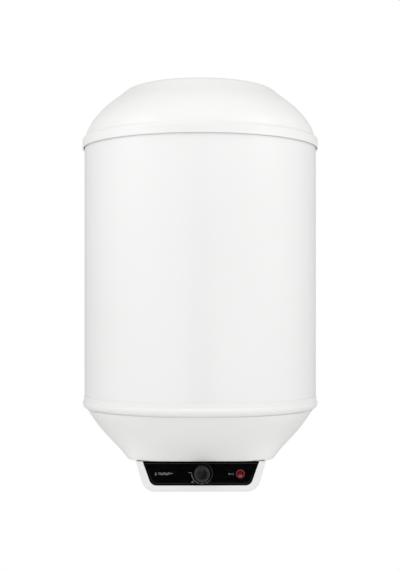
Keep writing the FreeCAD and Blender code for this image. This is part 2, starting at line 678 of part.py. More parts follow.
def fascia_plate():
    plate = slab(FASCIA_FRONT, FASCIA_FRONT + FASCIA_T, *FASCIA)
    plate = plate.cut(cylinder_y(5.2, -160, -140, KNOB_X, KNOB_Z))
    return plate.cut(cylinder_y(SWITCH_HOLE_R, -160, -140, SWITCH_X, SWITCH_Z))


def fascia_film():
    """The printed sheet on the fascia, a little smaller than it on every side."""
    half_top, half_low, low, top, corner = FASCIA
    film = slab(FASCIA_FRONT - FILM_T, FASCIA_FRONT, half_top - 0.6, half_low - 0.2, low, top - FILM_INSET,
                corner - FILM_INSET, inset=FILM_INSET)
    film = film.cut(cylinder_y(5.2, -160, -140, KNOB_X, KNOB_Z))
    return film.cut(cylinder_y(SWITCH_RING_R + 0.15, -160, -140, SWITCH_X, SWITCH_Z))


# ---------------------------------------------------------------- knob and thermostat
KNOB_R, KNOB_DEPTH, KNOB_BASE = 14.4, 16.0, FASCIA_FRONT - FILM_T - 0.8
KNOB_BEVEL = 2.6           # the bevel round the face, as wide as it is deep
KNOB_FRONT = KNOB_BASE - KNOB_DEPTH
SPINDLE_R = 3.0
KNOB_FLUTES = 36


def turned_y(outline, x, z):
    """A solid turned about a front-to-back axis from (radius, y) points."""
    points = [Vector(r, 0, y) for r, y in outline]
    solid = Part.Face(Part.makePolygon(points + points[:1])).revolve(Vector(0, 0, 0), UP, 360)
    solid.rotate(Vector(0, 0, 0), RIGHT, -90)
    solid.translate(Vector(x, 0, z))
    return solid


def spindle(radius, y0, y1, flat):
    """A round shaft with one flat side."""
    shaft = cylinder_y(radius, y0, y1, KNOB_X, KNOB_Z)
    return shaft.cut(box(KNOB_X - 5, KNOB_X + 5, y0 - 1, y1 + 1, KNOB_Z + flat, KNOB_Z + 6))


POINTER_HALF, POINTER_DEPTH = 0.9, 0.8
POINTER_FROM, POINTER_TO = 4.0, 10.9       # distances from the knob's axis


def pointer_block(gap):
    """The strip on the knob's face, from near its centre to its edge, that shows where it points."""
    half = POINTER_HALF + gap
    return box(KNOB_X - half, KNOB_X + half, KNOB_FRONT - 1, KNOB_FRONT + POINTER_DEPTH + gap,
               KNOB_Z + POINTER_FROM - gap, KNOB_Z + POINTER_TO + gap)


def control_knob():
    """A round grip with a bevelled front edge, fine flutes, and a hollow back round its hub."""
    front, base = KNOB_FRONT, KNOB_BASE
    rim, skirt = KNOB_R - KNOB_BEVEL, KNOB_R + 0.6
    body = turned_y([(0, front + 0.6), (rim - 2.4, front + 0.6), (rim - 0.5, front), (rim, front),
                     (KNOB_R, front + KNOB_BEVEL), (KNOB_R, base - 2.4), (skirt, base - 1.6), (skirt, base),
                     (rim + 0.5, base), (rim, front + 3.6), (6.0, front + 3.6), (5.0, base), (0, base)],
                    KNOB_X, KNOB_Z)
    for x, z in ring_of(KNOB_FLUTES, KNOB_R + 0.45, KNOB_X, KNOB_Z):
        body = body.cut(cylinder_y(0.75, front - 1, base - 2.6, x, z))
    body = body.cut(spindle(SPINDLE_R + 0.03, front + 3, base + 1, 1.6))
    return body.cut(pointer_block(0.0))


def knob_pointer():
    block = pointer_block(-0.02)
    return block.common(box(-50, 50, KNOB_FRONT + 0.05, 0, 0, 99))


THERMOSTAT_FRONT = FASCIA_FRONT + FASCIA_T
THERMOSTAT_BACK = -112.0


def thermostat_spindle():
    return spindle(SPINDLE_R, KNOB_FRONT + 3.2, THERMOSTAT_FRONT + 6, 1.57)


def thermostat_body():
    """The switch block, with its threaded collar to the front and its bellows cup to the rear."""
    y0, y1 = THERMOSTAT_FRONT, THERMOSTAT_BACK
    block = box(KNOB_X - 18, KNOB_X + 18, y0, y1, KNOB_Z - 16, KNOB_Z + 16)
    block = block.makeFillet(2.0, [e for e in block.Edges if e.BoundBox.YLength > 20])
    cup = cylinder_y(14, y1, y1 + 6, KNOB_X, KNOB_Z).fuse(cylinder_y(9, y1 + 6, y1 + 8, KNOB_X, KNOB_Z))
    collar = cylinder_y(5.0, FASCIA_FRONT - FILM_T + 0.2, y0, KNOB_X, KNOB_Z)
    body = block.fuse(cup).fuse(collar)
    body = body.cut(cylinder_y(SPINDLE_R + 0.05, -160, y0 + 6.4, KNOB_X, KNOB_Z))
    for side in (-1, 1):
        for z in (KNOB_Z - 8, KNOB_Z + 8):
            x = KNOB_X + side * 18
            body = body.fuse(box(min(x, x + side * 8), max(x, x + side * 8), -126, -119.7, z - 0.4, z + 0.4))
    return body.removeSplitter()


BULB_R, BULB_LOW, BULB_HIGH = 3.6, 270.0, 392.0
CAPILLARY_R = 0.9


def capillary(well, route):
    """A bulb in its well and the thin tube that leads from it."""
    x, y = well
    bulb = cylinder(BULB_R, BULB_LOW, BULB_HIGH, x, y)
    bulb = bulb.makeFillet(2.0, [e for e in bulb.Edges if len(e.Vertexes) == 1])
    return bulb.fuse(routed_tube([(x, y, BULB_LOW + 3)] + route, CAPILLARY_R))


# ---------------------------------------------------------------- lit rocker switch
SWITCH_RING_R, SWITCH_HOLE_R, ROCKER_R = 8.0, 7.2, 6.1
SWITCH_PIVOT_Y = FASCIA_FRONT + 0.6
SWITCH_BACK, TAB_PITCH = -126.0, 4.5
ROCKER_TILT = 8.0


def switch_ring():
    """The moulded ring round the rocker."""
    front = FASCIA_FRONT - FILM_T - 1.5
    return turned_y([(6.45, front + 0.5), (6.9, front), (7.4, front), (SWITCH_RING_R, front + 0.7),
                     (SWITCH_RING_R, FASCIA_FRONT), (6.45, FASCIA_FRONT)], SWITCH_X, SWITCH_Z)


def switch_body():
    """The barrel behind the fascia, with a well for the rocker and its lamp and three tabs at the back."""
    y0, y1 = FASCIA_FRONT, SWITCH_BACK
    barrel = cylinder_y(SWITCH_HOLE_R - 0.15, y0, y1, SWITCH_X, SWITCH_Z)
    barrel = barrel.cut(cylinder_y(6.45, y0 - 1, y0 + 7.5, SWITCH_X, SWITCH_Z))
    barrel = barrel.cut(cylinder_y(1.8, y0 + 7, y0 + 16, SWITCH_X, SWITCH_Z))
    for z in (SWITCH_Z - TAB_PITCH, SWITCH_Z, SWITCH_Z + TAB_PITCH):
        barrel = barrel.fuse(box(SWITCH_X - 2.4, SWITCH_X + 2.4, y1, y1 + 8, z - 0.4, z + 0.4))
    return barrel.removeSplitter()


def switch_rocker():
    """A rocker cut from a ball, so that its edge stays clear of the ring as it tips.

    Its front is two flats that meet in a shallow valley. At rest its upper flat is upright."""
    ball = Part.makeSphere(ROCKER_R, Vector(0, 0, 0))
    keep = box(-8, 8, -8, 2.6, -8, 8)
    rocker = ball.common(keep)
    for side in (-1, 1):
        cutter = box(-9, 9, -12, -2.2, -0.001 if side > 0 else -12, 12 if side > 0 else 0.001)
        cutter.rotate(Vector(0, -2.2, 0), RIGHT, side * ROCKER_TILT)
        rocker = rocker.cut(cutter)
    rocker.rotate(Vector(0, 0, 0), RIGHT, -ROCKER_TILT)
    rocker.translate(Vector(SWITCH_X, SWITCH_PIVOT_Y, SWITCH_Z))
    return rocker


def switch_lamp():
    """The small neon lamp that lights the rocker from behind."""
    bulb = cylinder_y(1.6, FASCIA_FRONT + 8, FASCIA_FRONT + 15.5, SWITCH_X, SWITCH_Z)
    tip = [e for e in bulb.Edges if len(e.Vertexes) == 1 and e.CenterOfMass.y < FASCIA_FRONT + 9]
    return bulb.makeFillet(1.0, tip)


# ---------------------------------------------------------------- thermal cut-out
CUTOUT = (-87.0, -58.0, -80.0, -50.0, 82.0, 110.0)
RESET_X, RESET_Y = -72.0, -65.0
SPRING_R, SPRING_WIRE_R, SPRING_TURN = 3.2, 0.5, 1.9


def cutout_body():
    x1, y0, y1, z0 = CUTOUT[1:5]
    block = box(*CUTOUT).cut(cylinder(3.4, z0 - 1, z0 + 3, RESET_X, RESET_Y))
    block = block.cut(cylinder(4.6, z0 + 2, z0 + 13, RESET_X, RESET_Y))
    for y in (y0 + 7, y1 - 7):
        block = block.fuse(box(x1, x1 + 8, y - 0.4, y + 0.4, z0 + 5, z0 + 11.3))
    return block.removeSplitter()


def reset_button():
    """Pops out when the cut-out trips; pressing it in closes the contacts again."""
    z0 = CUTOUT[4]
    stem = cylinder(3.0, z0 - 4, z0 + 4, RESET_X, RESET_Y)
    stem = stem.makeFillet(0.8, [e for e in stem.Edges if len(e.Vertexes) == 1 and e.CenterOfMass.z < z0])
    return stem.fuse(cylinder(4.2, z0 + 2.3, z0 + 4, RESET_X, RESET_Y)).removeSplitter()


def reset_spring():
    """Four turns of eight-sided wire between the button's shoulder and the roof of its hole."""
    steps, turns = 8, 4
    coil = Part.BSplineCurve()
    angles = [2 * math.pi * n / steps for n in range(steps * turns + 1)]
    rise = SPRING_TURN / (2 * math.pi)
    coil.interpolate([Vector(SPRING_R * math.cos(a), SPRING_R * math.sin(a), rise * a) for a in angles])
    start, along = coil.value(coil.FirstParameter), coil.tangent(coil.FirstParameter)[0]
    across = along.cross(RIGHT).normalize()
    corners = [start + RIGHT * (SPRING_WIRE_R * math.cos(math.pi / 4 * n))
               + across * (SPRING_WIRE_R * math.sin(math.pi / 4 * n)) for n in range(8)]
    spring = Part.Wire(coil.toShape()).makePipeShell([Part.makePolygon(corners + corners[:1])], True, False)
    spring.translate(Vector(RESET_X, RESET_Y, CUTOUT[4] + 4.1 + SPRING_WIRE_R))
    return spring


def cutout_bracket():
    """A bent sheet that hangs the cut-out from the closing plate."""
    x0, x1, y0, y1, z0, z1 = CUTOUT
    upright = box(x0 - 1.5, x0, y0, y1, z0, CLOSER_LOW)
    foot = box(x0 - 22, x0 - 1, y0, y1, CLOSER_LOW - 1.5, CLOSER_LOW)
    return upright.fuse(foot).cut(cylinder(2.2, 100, 160, x0 - 12, (y0 + y1) / 2)).removeSplitter()


# ---------------------------------------------------------------- mains connection
TERMINALS = (-21.0, 21.0, 12.0, 34.0, COVER_LOW + COVER_T, COVER_LOW + COVER_T + 17)
GLAND_R, CABLE_R = 8.0, 4.5
WIRE_R = 1.2


def terminal_places():
    return {"live": (-13.0, 23.0), "neutral": (0.0, 23.0), "earth": (13.0, 23.0)}


def terminal_block():
    block = box(*TERMINALS)
    top = TERMINALS[5]
    for x, y in terminal_places().values():
        block = block.cut(cylinder(3.1, top - 9, top + 1, x, y))
    for x in (-6.5, 6.5):
        block = block.fuse(box(x - 0.8, x + 0.8, TERMINALS[2], TERMINALS[3], top, top + 3))
    return block.removeSplitter()


def terminal_screws():
    top = TERMINALS[5]
    screws = []
    for x, y in terminal_places().values():
        screw = cylinder(2.9, top - 8.8, top - 3, x, y)
        screws.append(screw.cut(box(x - 3, x + 3, y - 0.4, y + 0.4, top - 4.2, top)))
    return screws


def cable_gland():
    """The strain relief for the mains cable: a threaded stem, a flange and a slotted clamping nose."""
    stem = cylinder(GLAND_R, COVER_LOW - 6, COVER_LOW + 12, 0, GLAND_Y)
    collar = hexagon(22, COVER_LOW - 6, COVER_LOW, 0, GLAND_Y)
    nose = Part.makeCone(7.2, 10.0, 10, Vector(0, GLAND_Y, COVER_LOW - 16))
    return stem.fuse(collar).fuse(nose).cut(cylinder(CABLE_R, 0, 100, 0, GLAND_Y)).removeSplitter()


def gland_nut():
    low = COVER_LOW + COVER_T
    return hexagon(22, low, low + 5, 0, GLAND_Y).cut(cylinder(GLAND_R + 0.05, low - 1, low + 6, 0, GLAND_Y))


def wires():
    """The heater's own wiring: each conductor runs from one terminal to the next and meets it square on."""
    feed = TERMINALS[5] - 11
    tab = TAB_LOW
    switch_back, side, upper_tab = SWITCH_BACK + 8, SWITCH_X, SWITCH_Z + TAB_PITCH
    z_in = CUTOUT[4] + 8
    live = [
        [(-13, 12, feed), (-13, -14, feed), (-34, -48, 70), (-40, -78, 64), (-32, -92, 42), (-6, -84, 24),
         (36, -90, 25), (side, -92, 32), (side, switch_back + 10, upper_tab), (side, switch_back, upper_tab)],
        [(side, switch_back, SWITCH_Z), (side, switch_back + 12, SWITCH_Z), (60, -88, 46), (44, -80, 64),
         (0, -76, 76), (-34, -73, z_in), (-50, -73, z_in)],
        [(-50, -57, z_in), (-40, -57, z_in), (-30, -74, 72), (-34, -84, 50), (-40, -100, 32),
         (-34, -119.7, KNOB_Z - 8), (KNOB_X - 26, -119.7, KNOB_Z - 8)],
        [(KNOB_X + 26, -119.7, KNOB_Z + 8), (34, -119.7, KNOB_Z + 8), (32, -98, 52), (24, -80, 70), (16, -64, 78),
         (ELEMENT_HALF, ELEMENT_ROWS[0], tab - 10), (ELEMENT_HALF, ELEMENT_ROWS[0], tab)],
    ]
    neutral = [
        [(0, 12, feed), (0, -8, feed), (-6, -30, 72), (-ELEMENT_HALF, ELEMENT_ROWS[1], tab - 9),
         (-ELEMENT_HALF, ELEMENT_ROWS[1], tab)],
    ]
    earth_y = FLANGE_Y + 9
    earth = [
        [(13, 12, feed), (13, -2, feed), (30, -14, 74), (46, -22, 92), (52, earth_y, 108), (52, earth_y, PLATE_LOW)],
    ]
    return {"live_wires": live, "neutral_wire": neutral, "earth_wire": earth}


# ---------------------------------------------------------------- all nodes
def build():
    export("casing", casing())
    export("foam_fill_plug", foam_fill_plug())
    export("top_cap", top_cap())
    export("cap_seal", cap_seal())
    export("lower_trim_ring", lower_trim_ring())
    export("foam_closing_plate", foam_closing_plate())
    export("bottom_cover", bottom_cover())
    export("cover_posts", *cover_posts())
    export("cover_screws", *[pan_screw(x, y, COVER_LOW, 2.0, 18) for x, y in POST_PLACES])
    export("insulation_foam", insulation_foam())

    export("tank_shell", tank_shell())
    export("tank_top_head", tank_head(TANK_HIGH, 1))
    export("tank_bottom_head", tank_bottom_head())
    export("flange_neck", flange_neck())
    export("flange_studs", *flange_studs())
    export("flange_gasket", flange_gasket())
    export("flange_plate", flange_plate())
    export("flange_nuts", *[flange_nut(x, y) for x, y in stud_places()])
    export("heating_element", *[heating_element(y) for y in ELEMENT_ROWS])
    export("element_insulators", *element_insulators())
    export("element_pins", *element_pins())
    export("thermowells", *thermowells())
    export("anode_rod", anode_rod())
    export("anode_stud", anode_stud())
    export("anode_nut", flange_nut(0, ANODE_Y, 6.5))

    for name, (x, y) in pipe_places().items():
        export(name + "_nipple", nipple(x, y, 184.0))
        export(name + "_rosette", rosette(x, y))
    export("hot_dip_tube", hot_dip_tube())
    export("cold_diffuser", cold_diffuser())

    export("upper_wall_bracket", wall_bracket(BRACKET_HIGH))
    export("lower_wall_bracket", wall_bracket(BRACKET_LOW))
    export("bracket_bosses", *bracket_bosses())
    export("bracket_bolts", *bracket_bolts())

    export("panel_housing", panel_housing())
    housing_screws = [pan_screw(x, y, COVER_LOW + COVER_T, 1.5, 15, -1) for x, y in HOUSING_SCREW_PLACES]
    export("housing_screws", *housing_screws)
    export("fascia_plate", fascia_plate())
    export("fascia_film", fascia_film())
    export("control_knob", control_knob())
    export("knob_pointer", knob_pointer())
    export("thermostat_spindle", thermostat_spindle())
    export("thermostat_body", thermostat_body())
    export("thermostat_capillary", capillary(well_places()[1], [
        (WELL_X, WELL_Y, 108), (30, -44, 84), (16, -74, 62), (KNOB_X, -86, KNOB_Z),
        (KNOB_X, THERMOSTAT_BACK + 8, KNOB_Z)]))
    export("switch_ring", switch_ring())
    export("switch_body", switch_body())
    export("switch_rocker", switch_rocker())
    export("switch_lamp", switch_lamp())
    export("cutout_body", cutout_body())
    export("cutout_bracket", cutout_bracket())
    export("reset_button", reset_button())
    export("reset_spring", reset_spring())
    export("cutout_capillary", capillary(well_places()[0], [
        (-WELL_X, WELL_Y, 112), (-34, -44, 98), (-44, -65, 98), (CUTOUT[1], -65, 98)]))
    export("terminal_block", terminal_block())
    export("terminal_screws", *terminal_screws())
    export("cable_gland", cable_gland())
    export("gland_nut", gland_nut())
    for name, routes in wires().items():
        export(name, *[routed_tube(route, WIRE_R) for route in routes])


build()
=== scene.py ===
"""Looks of a wall-hung electric water heater: materials, printed marks, pipe threads, studio and camera.

Everything is in metres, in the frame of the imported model: +Z up, the front faces -Y, and the wall is
the plane y = 0.
"""
import json
import math

import bmesh
import bpy
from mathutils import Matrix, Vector


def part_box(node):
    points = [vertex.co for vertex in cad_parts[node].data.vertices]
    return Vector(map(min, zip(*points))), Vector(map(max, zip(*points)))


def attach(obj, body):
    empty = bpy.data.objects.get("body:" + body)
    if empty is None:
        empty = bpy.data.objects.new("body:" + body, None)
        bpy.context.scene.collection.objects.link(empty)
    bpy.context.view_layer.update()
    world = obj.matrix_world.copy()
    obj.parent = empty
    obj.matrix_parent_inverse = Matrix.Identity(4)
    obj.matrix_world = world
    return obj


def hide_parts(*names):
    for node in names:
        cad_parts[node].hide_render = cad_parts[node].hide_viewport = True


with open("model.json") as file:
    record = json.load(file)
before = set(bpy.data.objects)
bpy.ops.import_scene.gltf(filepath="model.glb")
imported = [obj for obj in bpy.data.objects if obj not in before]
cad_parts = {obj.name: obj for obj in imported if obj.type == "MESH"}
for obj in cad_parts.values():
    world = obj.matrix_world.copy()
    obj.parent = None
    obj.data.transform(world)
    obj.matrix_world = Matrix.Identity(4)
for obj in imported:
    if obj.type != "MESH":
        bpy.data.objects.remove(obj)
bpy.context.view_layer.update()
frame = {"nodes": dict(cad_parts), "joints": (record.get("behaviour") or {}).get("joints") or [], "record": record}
scene = bpy.context.scene

# ---------------------------------------------------------------- places read from the frame
MM = 0.001
casing_low, casing_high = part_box("casing")
film_low, film_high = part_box("fascia_film")
switch_low, switch_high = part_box("switch_ring")
AXIS_Y = (casing_low.y + casing_high.y) / 2
FILM_Y = film_low.y                       # the printed film's front
PANEL_Z = 0.5 * (film_low.z + film_high.z)
KNOB = Vector(next(j for j in frame["joints"] if j["name"] == "knob_turn")["pos_m"])
SWITCH = (switch_low + switch_high) / 2


# ---------------------------------------------------------------- material helpers
class Surface:
    """A Principled material whose colour, roughness and bump come from layered procedural textures."""

    def __init__(self, slot, color, metallic=0.0, roughness=0.4, **constants):
        self.material = bpy.data.materials.new(slot)
        self.material.use_nodes = True
        self.tree = self.material.node_tree
        self.shader = self.tree.nodes["Principled BSDF"]
        self.shader.inputs["Metallic"].default_value = metallic
        self.shader.inputs["Roughness"].default_value = roughness
        for name, value in constants.items():
            self.shader.inputs[name.replace("_", " ")].default_value = value
        self.coords = self.tree.nodes.new("ShaderNodeTexCoord").outputs["Object"]
        self.color = color
        self.height = None

    def link(self, source, target):
        self.tree.links.new(source, target)

    def stretched(self, stretch):
        node = self.tree.nodes.new("ShaderNodeMapping")
        node.inputs["Scale"].default_value = stretch
        self.link(self.coords, node.inputs["Vector"])
        return node.outputs["Vector"]

    def noise(self, per_metre, detail=3.0, stretch=None):
        """Cloudy values about 0.5, with so many cells to the metre."""
        node = self.tree.nodes.new("ShaderNodeTexNoise")
        node.inputs["Scale"].default_value = per_metre
        node.inputs["Detail"].default_value = detail
        self.link(self.stretched(stretch) if stretch else self.coords, node.inputs["Vector"])
        return node.outputs["Fac"]

    def cells(self, per_metre):
        """Distance to the nearest of scattered points: pits and grains."""
        node = self.tree.nodes.new("ShaderNodeTexVoronoi")
        node.inputs["Scale"].default_value = per_metre
        self.link(self.coords, node.inputs["Vector"])
        return node.outputs["Distance"]

    def ranged(self, source, low, high, to_low=0.0, to_high=1.0):
        node = self.tree.nodes.new("ShaderNodeMapRange")
        node.interpolation_type = "SMOOTHSTEP"
        for name, value in (("From Min", low), ("From Max", high), ("To Min", to_low), ("To Max", to_high)):
            node.inputs[name].default_value = value
        self.link(source, node.inputs["Value"])
        return node.outputs["Result"]

    def blend(self, factor, low, high):
        """A colour that goes from low, which may be another node's output, to high with the factor."""
        node = self.tree.nodes.new("ShaderNodeMix")
        node.data_type = "RGBA"
        self.link(factor, node.inputs["Factor"])
        first, second = (socket for socket in node.inputs if socket.type == "RGBA")
        if isinstance(low, tuple):
            first.default_value = (*low, 1.0)
        else:
            self.link(low, first)
        second.default_value = (*high, 1.0)
        return next(socket for socket in node.outputs if socket.type == "RGBA")

    def tint(self, factor, color):
        """Mixes another colour in where the factor is high."""
        self.color = self.blend(factor, self.color, color)
        return self

    def vary_roughness(self, factor, low, high):
        self.link(self.ranged(factor, 0.3, 0.7, low, high), self.shader.inputs["Roughness"])
        return self

    def edge_wear(self, color, reach):
        """A slightly different colour along sharp edges, where hands and tools rub."""
        node = self.tree.nodes.new("ShaderNodeNewGeometry")
        worn = self.ranged(node.outputs["Pointiness"], 0.5 + reach, 0.5 + 3 * reach)
        return self.tint(worn, color)

    def bump(self, height, distance, strength=1.0):
        node = self.tree.nodes.new("ShaderNodeBump")
        node.inputs["Strength"].default_value = strength
        node.inputs["Distance"].default_value = distance
        self.link(height, node.inputs["Height"])
        if self.height is not None:
            self.link(self.height, node.inputs["Normal"])
        self.height = node.outputs["Normal"]
        self.link(self.height, self.shader.inputs["Normal"])
        return self

    def done(self):
        self.link(self.color, self.shader.inputs["Base Color"])
        return self.material


def painted_steel(slot, color):
    """Oven-baked enamel paint on sheet steel: faint orange peel and a slow drift of tone."""
    s = Surface(slot, color, roughness=0.32, Coat_Weight=0.25, Coat_Roughness=0.12)
    s.tint(s.ranged(s.noise(4.0, 2.0), 0.35, 0.65, 0.0, 0.5), tuple(c * 0.975 for c in color))
    s.tint(s.ranged(s.noise(1100.0, 1.0), 0.35, 0.65, 0.0, 0.2), tuple(c * 0.97 for c in color))
    s.vary_roughness(s.noise(35.0, 4.0), 0.29, 0.35)
    s.bump(s.noise(14.0, 2.0, (1.0, 1.0, 0.35)), 0.00035, 0.35)
    s.bump(s.noise(520.0, 2.0), 0.00004, 0.5)
    return s.done()


def moulded_white(slot, color):
    """Injection-moulded white plastic with a fine spark-eroded grain."""
    s = Surface(slot, color, roughness=0.38, Subsurface_Weight=0.04, Subsurface_Scale=0.002)
    warmer = tuple(c * f for c, f in zip(color, (0.985, 0.983, 0.972)))
    s.tint(s.ranged(s.noise(9.0, 3.0), 0.35, 0.68, 0.0, 0.6), warmer)
    s.vary_roughness(s.noise(60.0, 4.0), 0.33, 0.43)
    s.bump(s.noise(26.0, 1.0), 0.0002, 0.3)
    s.bump(s.cells(1500.0), 0.00004, 0.5)
    return s.done()


def plain_plastic(slot, color, roughness=0.5, grain=1600.0, depth=0.00004, worn=None, gloss=0.5):
    s = Surface(slot, color, roughness=roughness, Specular_IOR_Level=gloss)
    s.tint(s.ranged(s.noise(70.0, 4.0), 0.35, 0.7, 0.0, 0.5), tuple(c * 0.85 for c in color))
    s.vary_roughness(s.noise(120.0, 4.0), roughness - 0.06, roughness + 0.08)
    s.bump(s.cells(grain), depth, 0.6)
    if worn:
        s.edge_wear(worn, 0.02)
    return s.done()


def gloss_black(slot, color, roughness):
    """Black acrylic: hairline swirl marks in the gloss and a trace of dust."""
    s = Surface(slot, color, roughness=roughness, Specular_IOR_Level=0.32)
    s.tint(s.ranged(s.noise(5200.0, 0.0), 0.74, 0.8, 0.0, 0.5), (0.05, 0.05, 0.05))
    s.vary_roughness(s.noise(90.0, 5.0, (1.0, 1.0, 6.0)), roughness * 0.7, roughness * 1.7)
    s.bump(s.noise(12.0, 1.0), 0.0001, 0.25)
    return s.done()


def bare_steel(slot, color, roughness=0.34, drawn=(1.0, 1.0, 30.0), stain=(0.42, 0.40, 0.37)):
    """Drawn, pressed or plated steel: fine lines, dull patches and brighter edges."""
    s = Surface(slot, color, metallic=1.0, roughness=roughness)
    s.tint(s.ranged(s.noise(48.0, 5.0), 0.5, 0.72, 0.0, 0.55), stain)
    s.edge_wear(tuple(min(1.0, c * 1.2) for c in color), 0.02)
    lines = s.noise(700.0, 3.0, drawn)
    s.vary_roughness(lines, roughness - 0.1, roughness + 0.12)
    s.bump(lines, 0.00003, 0.5)
    return s.done()


def galvanised(slot, color):
    """Zinc with its faint crystal spangle."""
    s = Surface(slot, color, metallic=1.0, roughness=0.4)
    s.tint(s.ranged(s.cells(260.0), 0.1, 0.75, 0.0, 0.5), tuple(c * 0.78 for c in color))
    s.tint(s.ranged(s.noise(30.0, 5.0), 0.55, 0.75, 0.0, 0.5), (0.55, 0.56, 0.55))
    s.vary_roughness(s.cells(260.0), 0.32, 0.5)
    s.bump(s.noise(300.0, 3.0), 0.00004, 0.5)
    return s.done()


def glass_enamel(slot, color):
    """Dark vitreous enamel with fine pinholes and an uneven flow."""
    s = Surface(slot, color, roughness=0.3, Coat_Weight=0.5, Coat_Roughness=0.1)
    s.tint(s.ranged(s.noise(700.0, 2.0), 0.6, 0.7, 0.0, 0.7), (0.22, 0.30, 0.38))
    s.tint(s.ranged(s.noise(7.0, 4.0), 0.4, 0.7, 0.0, 0.6), tuple(c * 0.7 for c in color))
    s.bump(s.noise(40.0, 3.0), 0.0003, 0.4)
    s.bump(s.cells(420.0), 0.00008, 0.4)
    return s.done()


def rigid_foam(slot, color):
    """Polyurethane foam: cut and burst cells, with browner patches where it has aged."""
    s = Surface(slot, color, roughness=0.92)
    # painted shade: the cells are darker exactly where the bump below sinks them into pits
    s.tint(s.ranged(s.cells(750.0), 0.05, 0.5, 0.55, 0.0), tuple(c * 0.68 for c in color))
    s.tint(s.ranged(s.noise(8.0, 4.0), 0.42, 0.7, 0.0, 0.6), (0.72, 0.56, 0.30))
    s.bump(s.cells(750.0), 0.0006, 0.8)
    s.bump(s.noise(20.0, 4.0), 0.0015, 0.5)
    return s.done()


def scaled_sheath(slot, color):
    """A nickel alloy heater sheath, straw and blue from its first heating."""
    s = Surface(slot, color, metallic=1.0, roughness=0.42)
    s.tint(s.ranged(s.noise(22.0, 4.0), 0.4, 0.6, 0.0, 0.7), (0.50, 0.38, 0.22))
    s.tint(s.ranged(s.noise(13.0, 3.0), 0.55, 0.72, 0.0, 0.6), (0.24, 0.27, 0.36))
    s.bump(s.noise(900.0, 3.0), 0.00005, 0.6)
    return s.done()


def cast_magnesium(slot, color):
    s = Surface(slot, color, metallic=1.0, roughness=0.6)
    s.tint(s.ranged(s.noise(60.0, 6.0), 0.45, 0.7, 0.0, 0.7), (0.36, 0.36, 0.36))
    s.bump(s.noise(120.0, 6.0), 0.0005, 0.7)
    return s.done()


def soft_rubber(slot, color):
    s = Surface(slot, color, roughness=0.8)
    s.tint(s.ranged(s.noise(40.0, 5.0), 0.45, 0.75, 0.0, 0.5), (0.12, 0.12, 0.11))
    s.bump(s.noise(1400.0, 3.0), 0.00006, 0.7)
    return s.done()


def lit_plastic(slot, color, glow, roughness, warm, gloss=0.3):
    """Translucent red plastic with a lamp's light showing unevenly through it; the same glow also paints a
    highlight on the rocker's lower edge.
    """
    s = Surface(slot, color, roughness=roughness, Specular_IOR_Level=gloss)
    s.tint(s.ranged(s.noise(190.0, 3.0), 0.4, 0.7, 0.0, 0.6), tuple(c * 0.7 for c in color))
    s.shader.inputs["Emission Strength"].default_value = glow
    s.link(s.blend(s.ranged(s.noise(160.0, 2.0), 0.35, 0.65), tuple(c * 0.6 for c in warm), warm),
           s.shader.inputs["Emission Color"])
    s.bump(s.noise(2400.0, 1.0), 0.00002, 0.5)
    return s.done()


def neon_glass(slot, color):
    s = Surface(slot, color, roughness=0.06, Transmission_Weight=0.7)
    s.tint(s.ranged(s.noise(700.0, 3.0), 0.4, 0.7, 0.0, 0.6), tuple(c * 0.7 for c in color))
    s.shader.inputs["Emission Strength"].default_value = 1.5
    s.link(s.blend(s.ranged(s.noise(900.0, 2.0), 0.35, 0.65), (0.45, 0.12, 0.03), (1.0, 0.35, 0.12)),
           s.shader.inputs["Emission Color"])
    s.bump(s.noise(500.0, 1.0), 0.00005, 0.4)
    return s.done()


def striped_insulation(slot, green, yellow):
    """Green and yellow bands along the earth wire."""
    s = Surface(slot, green, roughness=0.4)
    wave = s.tree.nodes.new("ShaderNodeTexWave")
    wave.inputs["Scale"].default_value = 60.0
    wave.inputs["Distortion"].default_value = 1.5
    s.link(s.coords, wave.inputs["Vector"])
    s.tint(s.ranged(wave.outputs["Fac"], 0.45, 0.55), yellow)
    s.bump(s.cells(2500.0), 0.00003, 0.5)
    return s.done()


